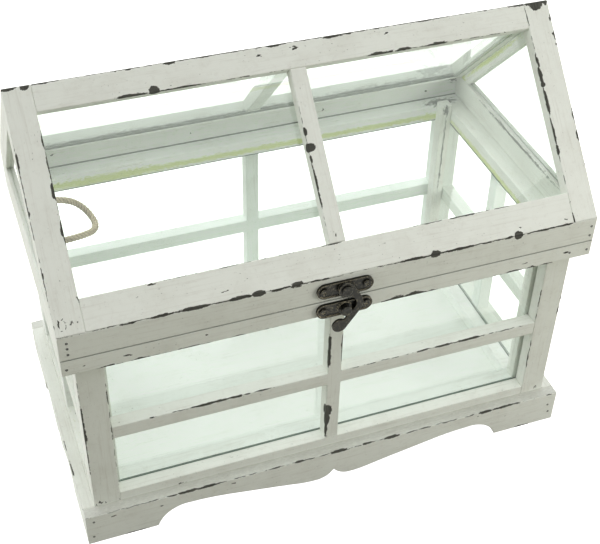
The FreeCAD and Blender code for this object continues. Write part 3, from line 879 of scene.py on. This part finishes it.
# Long enough to run on past both ends of a board
WHOLE_LENGTH = 4000.0
PARTING_LINE = ((0, FRONT_FACE, PARTING, WHOLE_LENGTH, 0.8),)
BACK_PARTING_LINE = ((0, BACK_FACE, PARTING, WHOLE_LENGTH, 1),)
# Dirt and painted shadow: a dark band on the back sash's eave rail, where the gap above the back eave board
# lies in shade
BACK_EAVE_GRIME_AND_SHADOW = ((0, 92.7, 223.9, WHOLE_LENGTH, 5), (110, 92.7, 223.9, 120, 7))
BACK_EAVE_DIRT_AND_SHADOW_LINE = ((0, 92.7, 223.8, WHOLE_LENGTH, 3.8),)
BACK_BOARD_GRIME = ((188, BACK_FACE, 212, 9, 7),)
BACK_RIM_ALGAE = ((0, 91.5, 186, WHOLE_LENGTH, 4), (-120, 91.5, 185.5, 90, 6.5), (165, 91.5, 185, 25, 6))
BACK_RIM_GRIME = ((174, 97, 195, 22, 8),)
SIDE_ALGAE = ((177.5, 10, 184, 130, 3.8),)
# Painted shadow: a thin dark line along the foot of the side rim, where it meets the glass
SIDE_RIM_SHADOW_LINE = ((177.5, 10, 181.5, 130, 1.5),)
# A darker band on the right eave board along the foot of the gable
RIGHT_EAVE_DARK_BAND = ((191.5, -5, 214, 90, 2.2),)
RAFTER_ALGAE = ((191.5, 54, 258, 75, 3.2), (191.5, 96, 216, 12, 6))
BATTEN_GRIME = ((172, 81.5, 197, 7, 4), (172.5, 81.5, 150, 60, 1.3), (-172, 81.5, 185, 20, 5))


def finish_for(node):
    """The painted finish of a board, by its place and the way its grain runs."""
    # The lighter inside paint is painted light for the faces inside and at the back
    inside = tuple(colours().inside_paint_with_painted_light)
    if node.startswith("roof"):
        front = "front" in node
        if node.endswith("rail"):
            if front:
                return painted("paint_roof_rails", X, Y, chips=EAVE_CHIPS + RIDGE_CHIPS, spots=EDGE_SPOTS)
            chips = turned(EAVE_CHIPS) + RIDGE_CHIPS
            # Here the grime and the line stand for dirt together with painted shadow under the back sash
            stains = {"spots": EDGE_SPOTS, "grime_and_shade": BACK_EAVE_GRIME_AND_SHADOW, "lines": BACK_EAVE_DIRT_AND_SHADOW_LINE}
            return painted("paint_back_roof_rails", X, Y, chips=chips, base=inside, **stains)
        if front:
            return painted("paint_roof_slope", DOWN_FRONT, X, chips=SLOPE_CHIPS, spots=SLOPE_SPOTS)
        return painted("paint_back_slope", DOWN_BACK, X)
    if node.startswith("corner_batten"):
        return painted("paint_batten", Z, X, grime_and_shade=BATTEN_GRIME, streaks=0.7)
    if node.startswith("corner_post_front"):
        return painted("paint_front_upright", Z, X, chips=UPRIGHT_CHIPS, spots=UPRIGHT_SPOTS)
    if node.startswith("corner"):
        spots = turned(UPRIGHT_SPOTS)
        return painted("paint_upright", Z, X, chips=turned(UPRIGHT_CHIPS), spots=spots, base=inside)
    if node == "rim_board_back":
        stains = {"algae": BACK_RIM_ALGAE, "grime_and_shade": BACK_RIM_GRIME, "lines": BACK_PARTING_LINE}
        return painted("paint_back_rim", X, Y, chips=turned(FRONT_CHIPS), base=inside, **stains)
    if node == "eave_board_back":
        chips = BACK_BOARD_CHIPS + turned(EAVE_CHIPS)
        stains = {"grime_and_shade": BACK_BOARD_GRIME, "lines": BACK_PARTING_LINE}
        return painted("paint_back_board", X, Y, chips=chips, base=inside, **stains)
    if node == "plinth_board_front":
        return painted("paint_plinth", X, Y, chips=FRONT_CHIPS, dust=0.5)
    if node == "plinth_board_back":
        return painted("paint_back_plinth", X, Y, chips=turned(FRONT_CHIPS), dust=0.3)
    if node.startswith("plinth_board_"):
        return painted("paint_side_plinth", Y, X, chips=SIDE_CHIPS + turned(SIDE_CHIPS), dust=0.15)
    if node == "eave_board_right":
        return painted("paint_right_eave", Y, X, grime_and_shade=RIGHT_EAVE_DARK_BAND, dust=0.45)
    if node.endswith(("_left", "_right")):
        return painted("paint_sides", Y, X, algae=SIDE_ALGAE, grime_and_shade=SIDE_RIM_SHADOW_LINE)
    if node.endswith("_front"):
        chips = EAVE_CHIPS + FRONT_CHIPS
        return painted("paint_front", X, Y, chips=chips, spots=EDGE_SPOTS, lines=PARTING_LINE)
    return painted("paint_level", X, Y, streaks=0.35, base=inside)


# Operators, one for each group of like pieces

class StageAndCamera(bpy.types.Operator):
    """Sets the pale floor, the soft lights and the camera"""
    bl_idname = "greenhouse.stage"
    bl_label = "Stage and Camera"

    # The floor and the surroundings show bright, but hardly light the boards
    floor_glow = 1.5
    kept_off_boards = 0.98

    def execute(self, context):
        scene = context.scene
        scene.view_settings.view_transform = "Standard"
        ground = fresh(bpy.ops.mesh.primitive_plane_add, "pale_floor", size=30.0, location=(0, 0, 0))
        material, s, shader, _ = new_material("pale_floor")
        place = s.node("ShaderNodeTexCoord").outputs["Object"]
        tone = opaque(colours().floor)
        shade = s.mix(s.noise(place, 3.0, 3.0, 0.5), tone, opaque([0.985 * part for part in tone[:3]]))
        s.put(shader, Base_Color=shade, Roughness=0.9, Specular_IOR_Level=0.1)
        bounce = s.node("ShaderNodeLightPath").outputs["Is Diffuse Ray"]
        glow = s.minus(self.floor_glow, s.times(bounce, self.floor_glow))
        s.put(shader, Emission_Color=opaque((1.0, 1.0, 1.0)), Emission_Strength=glow)
        material.cycles.emission_sampling = "NONE"
        give(ground, material)
        self.sky("overhead_softbox", energy=2.05, spread=100, tilt=0, lean=0, colour=(1.0, 0.995, 0.97))
        self.sky("back_softbox", energy=1.3, spread=60, tilt=-55, lean=0, colour=(0.96, 0.99, 1.0))
        self.sky("left_softbox", energy=1.4, spread=40, tilt=0, lean=-82, colour=(1.0, 1.0, 0.98))
        self.panel("right_softbox", energy=4.9, size=0.6, place=(0.95, -0.75, 0.35), target=(0.1, -0.1, 0.12))
        world = bpy.data.worlds.new("soft_surroundings")
        scene.world = world
        world.use_nodes = True
        world.cycles.sampling_method = "NONE"
        sky = Sheet(world.node_tree)
        background = world.node_tree.nodes["Background"]
        bounce = sky.node("ShaderNodeLightPath").outputs["Is Diffuse Ray"]
        strength = sky.minus(1.0, sky.times(bounce, self.kept_off_boards))
        sky.put(background, Color=opaque((0.97, 1.0, 0.985)), Strength=strength)
        self.camera(scene)
        return {"FINISHED"}

    def lamp(self, kind, name, energy, colour, turn, place=(0, 0, 2)):
        bpy.ops.object.light_add(type=kind, rotation=turn, location=place)
        made = bpy.context.active_object
        made.name = name
        made.data.energy = energy
        made.data.color = colour
        return made

    def sky(self, name, energy, spread, tilt, lean, colour):
        """A wide soft light from one side, with its angles in degrees."""
        turn = (math.radians(tilt), math.radians(lean), 0)
        self.lamp("SUN", name, energy, colour, turn).data.angle = math.radians(spread)

    def panel(self, name, energy, size, place, target):
        """A square soft light at one place, turned to another."""
        turn = (Vector(target) - Vector(place)).to_track_quat("-Z", "Y").to_euler()
        made = self.lamp("AREA", name, energy, (1.0, 0.98, 0.92), turn, place)
        made.data.size = size
        made.visible_camera = False

    def camera(self, scene):
        """Looks down on the front from its left, rolled by a little over a degree."""
        azimuth, elevation, roll = -0.3655, 0.705, 0.02517
        distance = 656.353 * MM
        target = Vector((-68.299, -204.992, 310.421)) * MM
        back = Vector(
            (
                math.sin(azimuth) * math.cos(elevation),
                -math.cos(azimuth) * math.cos(elevation),
                math.sin(elevation),
            )
        )
        level = (-back).cross(Z).normalized()
        raised = back.cross(level)
        right = math.cos(roll) * level + math.sin(roll) * raised
        up = math.cos(roll) * raised - math.sin(roll) * level
        place = target + back * distance
        bpy.ops.object.camera_add(location=place)
        camera = bpy.context.active_object
        camera.name = "photo_camera"
        turn = Matrix((right, up, back)).transposed().to_4x4()
        camera.matrix_world = Matrix.Translation(place) @ turn
        camera.data.lens = 69.75
        camera.data.sensor_width = 36.0
        camera.data.sensor_fit = "HORIZONTAL"
        camera.data.clip_start = 0.02
        scene.camera = camera


class StayCord(bpy.types.Operator):
    """Lays the three-strand jute cord from the lid to the case"""
    bl_idname = "greenhouse.stay_cord"
    bl_label = "Stay Cord"

    strands = 3
    strand_sides = 14
    # A strand's radius and its middle's distance from the cord's line, as shares of the diameter
    strand_share = 0.29
    orbit_share = 0.31
    loose_ends = 46
    loose_end_radius = 0.07 * MM
    route = (
        (-0.1915, 0.0525, 0.2035),
        (-0.168, 0.0525, 0.2035),
        (-0.149, 0.0615, 0.1865),
        (-0.1405, 0.0395, 0.1775),
        (-0.160, 0.023, 0.1855),
        (-0.1775, 0.023, 0.1855),
    )

    def execute(self, context):
        line = self.smooth_line()
        verts, faces, unrolled = [], [], []
        diameter = sizes().cord_diameter
        strand_radius = diameter * self.strand_share
        orbit = diameter * self.orbit_share
        frames = self.frames(line)
        for strand in range(self.strands):
            start = 2 * math.pi * strand / self.strands
            centres = []
            for place, side, other, run in frames:
                turn = start + 2 * math.pi * run / sizes().cord_lay
                centres.append((place + orbit * (math.cos(turn) * side + math.sin(turn) * other), run))
            self.tube(centres, strand_radius, self.strand_sides, verts, faces, unrolled)
        self.wisps(frames, diameter / 2, verts, faces, unrolled)
        mesh = bpy.data.meshes.new("jute_cord")
        mesh.from_pydata(verts, [], faces)
        layer = mesh.uv_layers.new(name="strand")
        for loop in mesh.loops:
            layer.data[loop.index].uv = unrolled[loop.vertex_index]
        piece = bpy.data.objects.new("jute_cord", mesh)
        context.scene.collection.objects.link(piece)
        edit(piece)
        bpy.ops.mesh.normals_make_consistent(inside=False)
        leave_edit()
        only(piece)
        bpy.ops.object.shade_smooth_by_angle(angle=math.radians(60))
        give(piece, jute())
        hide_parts("stay_cord")
        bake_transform(piece)
        return {"FINISHED"}

    def smooth_line(self):
        """Points along the smooth curve that has the route's points as its control points."""
        data = bpy.data.curves.new("cord_line", "CURVE")
        data.dimensions = "3D"
        spline = data.splines.new("NURBS")
        spline.points.add(len(self.route) - 1)
        for point, place in zip(spline.points, self.route):
            point.co = (*place, 1.0)
        spline.order_u = 3
        spline.use_endpoint_u = True
        data.resolution_u = 24
        guide = bpy.data.objects.new("cord_line", data)
        bpy.context.scene.collection.objects.link(guide)
        mesh = bpy.data.meshes.new_from_object(guide)
        line = [vertex.co.copy() for vertex in mesh.vertices]
        bpy.data.objects.remove(guide)
        bpy.data.curves.remove(data)
        bpy.data.meshes.remove(mesh)
        return line

    def frames(self, line):
        """Each point with two directions square to the line, untwisted, and the run up to it."""
        made = []
        run = 0.0
        ahead = (line[1] - line[0]).normalized()
        side = ahead.cross(Z).normalized()
        for index, place in enumerate(line):
            before = line[max(index - 1, 0)]
            after = line[min(index + 1, len(line) - 1)]
            ahead = (after - before).normalized()
            side = (side - ahead * side.dot(ahead)).normalized()
            run += (place - before).length
            made.append((place, side, ahead.cross(side), run))
        return made

    def tube(self, centres, radius, sides, verts, faces, unrolled):
        """A round tube along the centres, closed at both ends, with its run and turn as its UV map."""
        first = len(verts)
        side = None
        for index, (place, run) in enumerate(centres):
            before = centres[max(index - 1, 0)][0]
            after = centres[min(index + 1, len(centres) - 1)][0]
            ahead = (after - before).normalized()
            side = ahead.orthogonal() if side is None else side - ahead * side.dot(ahead)
            side.normalize()
            other = ahead.cross(side)
            for corner in range(sides):
                turn = 2 * math.pi * corner / sides
                verts.append(place + radius * (math.cos(turn) * side + math.sin(turn) * other))
                unrolled.append((radius * math.sin(turn / 2) * 4, run))
        for index in range(len(centres) - 1):
            ring = first + index * sides
            for corner in range(sides):
                following = (corner + 1) % sides
                above = ring + sides
                faces.append((ring + corner, ring + following, above + following, above + corner))
        faces.append(tuple(range(first, first + sides)))
        last = first + (len(centres) - 1) * sides
        faces.append(tuple(range(last, last + sides)))

    def wisps(self, frames, radius, verts, faces, unrolled):
        """Loose fibre ends that stand off the cord."""
        chance = random.Random(7)
        for _ in range(self.loose_ends):
            place, side, other, run = frames[chance.randrange(4, len(frames) - 4)]
            turn = chance.uniform(0, 2 * math.pi)
            out = math.cos(turn) * side + math.sin(turn) * other
            along = side.cross(other) * chance.choice((-1, 1))
            reach = chance.uniform(0.5, 1.7) * MM
            drift = chance.uniform(0.6, 2.2) * MM
            centres = []
            for step in range(5):
                share = step / 4
                bend = out * (radius * 0.85 + reach * share) + along * drift * math.sin(share * 1.5)
                centres.append((place + bend, run + share * drift))
            self.tube(centres, self.loose_end_radius, 4, verts, faces, unrolled)


class CaseBoards(bpy.types.Operator):
    """Makes the case's plinth, posts, rails, bars, battens, bead, floor and rim of painted wood"""
    bl_idname = "greenhouse.case_boards"
    bl_label = "Case Boards"

    def execute(self, context):
        for wall in ("front", "back", "left", "right"):
            for kind in ("plinth_board_", "bottom_rail_", "rim_board_"):
                board(kind + wall, finish_for(kind + wall))
        for corner in ("front_left", "front_right", "back_left", "back_right"):
            for kind in ("corner_post_", "corner_batten_"):
                board(kind + corner, finish_for(kind + corner))
        # The floor takes the lighter inside paint, painted light for the inside
        board("floor_panel", painted("paint_floor", X, Y, streaks=0.25, base=tuple(colours().inside_paint_with_painted_light)))
        board("floor_bead", finish_for("floor_bead"))
        front_upright = finish_for("corner_post_front_left")
        upright = finish_for("corner_post_back_left")
        crossed_bars("glazing_bars_front", X, finish_for("rim_board_front"), front_upright)
        crossed_bars("glazing_bars_back", X, finish_for("glazing_bars_back"), upright)
        for wall in ("left", "right"):
            crossed_bars("glazing_bars_" + wall, Y, finish_for("rim_board_left"), upright)
        return {"FINISHED"}


class LidBoards(bpy.types.Operator):
    """Makes the lid's eave boards, roof sashes and gable rafters of painted wood"""
    bl_idname = "greenhouse.lid_boards"
    bl_label = "Lid Boards"

    def execute(self, context):
        for wall in ("front", "back", "left", "right"):
            board("eave_board_" + wall, finish_for("eave_board_" + wall))
        for slope in ("front", "back"):
            for part in ("stile_left", "stile_right", "ridge_rail", "eave_rail", "bar"):
                node = "roof_" + slope + "_" + part
                board(node, finish_for(node))
        for side in ("left", "right"):
            rafters("gable_rafters_" + side)
        return {"FINISHED"}


class GlassPanes(bpy.types.Operator):
    """Makes the clear panes, each with its darker ground rim"""
    bl_idname = "greenhouse.glass_panes"
    bl_label = "Glass Panes"

    def execute(self, context):
        nodes = ["pane_" + wall for wall in ("front", "back", "left", "right")]
        nodes += ["gable_pane_left", "gable_pane_right", "roof_front_pane", "roof_back_pane"]
        for node in nodes:
            piece = copy_of_node(node, "glass_" + node)
            apply_modifier(piece, "BEVEL", width=sizes().glass_edge, segments=1, limit_method="ANGLE")
            give(piece, clear_glass(), glass_rim_and_shadow_line())
            largest = max(face.area for face in piece.data.polygons)
            for face in piece.data.polygons:
                face.material_index = int(face.area < 0.5 * largest)
            stands_for(piece, node)
        return {"FINISHED"}


class GlassShadowLines(bpy.types.Operator):
    """Runs a thin dark strip of painted shadow along the foot of each wall pane, outside and inside, where
    the pane sits in its slot
    """
    bl_idname = "greenhouse.glass_beds"
    bl_label = "Glass Shadow Lines"

    # In millimetres: each wall's way out, its pane's outer face, and half the length of the outer strip of
    # painted shadow
    walls = (
        ("front", -Y, 93.5, 170.3),
        ("back", Y, 93.5, 170.3),
        ("left", -X, 179.5, 84.3),
        ("right", X, 179.5, 84.3),
    )
    outer_height = 39.0
    inner_height = 38.5
    pane_thickness = 2.0
    inner_shorter = 3.0

    def execute(self, context):
        for wall, outwards, face, half_run in self.walls:
            foot = outwards * face + Z * self.outer_height
            self.bead("shadow_line_" + wall, foot, half_run, outwards)
        for wall, outwards, face, half_run in self.walls:
            foot = outwards * (face - self.pane_thickness) + Z * self.inner_height
            self.bead("shadow_line_inside_" + wall, foot, half_run - self.inner_shorter, -outwards)
        return {"FINISHED"}

    # Each strip is painted shadow: a dark line in the glass rim's colour where the pane meets the wood
    def bead(self, name, foot, half_run, facing):
        width = sizes().shadow_line_width
        centre = foot * MM + (facing + Z) * width / 2
        scale = [width, width, width]
        scale[0 if facing.x == 0 else 1] = 2 * half_run * MM
        strip = fresh(bpy.ops.mesh.primitive_cube_add, name, size=1.0, location=centre, scale=scale)
        soften(strip, width * 0.3)
        give(strip, glass_rim_and_shadow_line())
        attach(strip, "case")


class LatchParts(bpy.types.Operator):
    """Makes the latch's plates, pivot, stud and swinging arm of aged bronze"""
    bl_idname = "greenhouse.latch_parts"
    bl_label = "Latch"

    def execute(self, context):
        for node in ("latch_plate", "keeper_plate", "latch_pivot", "keeper_stud", "latch_arm"):
            metal_piece(node, sizes().metal_edge)
        return {"FINISHED"}


class HingeLeaves(bpy.types.Operator):
    """Makes the leaves and knuckles of the two hinges of aged bronze"""
    bl_idname = "greenhouse.hinge_leaves"
    bl_label = "Hinges"

    def execute(self, context):
        for side in ("left", "right"):
            for leaf in ("case", "lid"):
                metal_piece("hinge_" + leaf + "_leaf_" + side, sizes().metal_edge * 0.6)
        return {"FINISHED"}


class LatchScrews(bpy.types.Operator):
    """Puts a dished wood screw into each end of the two latch plates"""
    bl_idname = "greenhouse.latch_screws"
    bl_label = "Latch Screws"

    # In millimetres: the plates' front face, the screws' distance from its middle, and their heights
    plate_face = -115.6
    from_middle = 16
    plates = (("latch", 205.5, "lid"), ("keeper", 187.25, "case"))

    def execute(self, context):
        radius = sizes().screw_radius
        front = self.plate_face * MM - radius * 0.2
        seats = []
        for plate, height, body in self.plates:
            for side, x in (("left", -self.from_middle), ("right", self.from_middle)):
                seats.append(("screw_" + plate + "_" + side, (x * MM, front, height * MM), body))
        put_heads(screw_head(*seats[0][:2], radius, -1), bronze(), seats)
        return {"FINISHED"}


class HingeScrews(bpy.types.Operator):
    """Puts two small screws into each leaf of the hinges"""
    bl_idname = "greenhouse.hinge_screws"
    bl_label = "Hinge Screws"

    # In millimetres: the leaves' back face, their middles, the screws' distance from one, and their heights
    leaf_face = 115.2
    hinges = (("left", -110), ("right", 110))
    from_middle = 9.5
    leaves = (("lid", 202.4), ("case", 187.9))

    def execute(self, context):
        radius = sizes().hinge_screw_radius
        back = self.leaf_face * MM + radius * 0.12
        seats = []
        for side, hinge in self.hinges:
            for body, height in self.leaves:
                for end, shift in (("a", -self.from_middle), ("b", self.from_middle)):
                    place = ((hinge + shift) * MM, back, height * MM)
                    seats.append(("screw_hinge_" + body + "_" + side + "_" + end, place, body))
        put_heads(screw_head(*seats[0][:2], radius, 1), bronze(), seats)
        return {"FINISHED"}


class PanelNails(bpy.types.Operator):
    """Puts the heads of the small panel nails into the ends of the boards"""
    bl_idname = "greenhouse.panel_nails"
    bl_label = "Panel Nails"

    # In millimetres: the boards' face, then x, z and the body of each nail on the front
    board_face = 114
    front = (
        (-193.9, 24.6, "case"), (-195.3, 7.7, "case"), (193.1, 18.7, "case"), (194.7, 10.1, "case"),
        (-194.0, 210.2, "lid"), (-194.0, 205.5, "lid"), (-194.0, 200.2, "lid"), (-196.4, 186.9, "case"),
        (196.2, 209.2, "lid"), (196.2, 200.7, "lid"), (181.7, 187.6, "case"), (196.3, 187.2, "case"),
    )

    def execute(self, context):
        radius = sizes().nail_radius
        tone = colours()
        nail_finish = plain_finish("nail_iron", tone.bronze, tone.bare_wood, 1500.0, 0.6, metallic=0.2)
        for side, facing in (("front", -1), ("back", 1)):
            seats = []
            for index, (x, z, body) in enumerate(self.front):
                place = (x * MM, facing * (self.board_face * MM), z * MM)
                seats.append(("nail_" + side + "_" + str(index + 1), place, body))
            put_heads(self.head(*seats[0][:2], radius, facing), nail_finish, seats)
        return {"FINISHED"}

    def head(self, name, place, radius, facing):
        nail = disc(name, place, radius, radius * 0.7, 16)
        bpy.ops.transform.translate(value=(0, -facing * radius * 0.2, 0))
        choose_faces(nail, lambda centre, normal: normal.y * facing > 0.9)
        bpy.ops.mesh.inset(thickness=radius * 0.35)
        bpy.ops.transform.translate(value=(0, -facing * radius * 0.15, 0))
        leave_edit()
        soften(nail, radius * 0.06)
        return nail


OPERATORS = (
    StageAndCamera,
    StayCord,
    CaseBoards,
    LidBoards,
    GlassPanes,
    GlassShadowLines,
    LatchParts,
    LatchScrews,
    HingeLeaves,
    HingeScrews,
    PanelNails,
)


class GreenhousePanel(bpy.types.Panel):
    bl_idname = "VIEW3D_PT_greenhouse"
    bl_label = "Wooden Mini Greenhouse"
    bl_space_type = "VIEW_3D"
    bl_region_type = "UI"
    bl_category = "Greenhouse"

    def draw(self, context):
        layout = self.layout
        for operator in OPERATORS:
            layout.operator(operator.bl_idname)
        for settings in (sizes(), colours()):
            box = layout.box()
            for name in settings.bl_rna.properties.keys():
                if name not in ("rna_type", "name"):
                    box.prop(settings, name)


CLASSES = (GreenhouseSizes, GreenhouseColours) + OPERATORS + (GreenhousePanel,)


def register():
    for made in CLASSES:
        bpy.utils.register_class(made)
    bpy.types.Scene.greenhouse_sizes = bpy.props.PointerProperty(type=GreenhouseSizes)
    bpy.types.Scene.greenhouse_colours = bpy.props.PointerProperty(type=GreenhouseColours)


def unregister():
    del bpy.types.Scene.greenhouse_colours
    del bpy.types.Scene.greenhouse_sizes
    for made in reversed(CLASSES):
        bpy.utils.unregister_class(made)


def main():
    register()
    for operator in OPERATORS:
        getattr(bpy.ops.greenhouse, operator.bl_idname.split(".")[1])()
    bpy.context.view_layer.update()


if __name__ == "__main__":
    main()
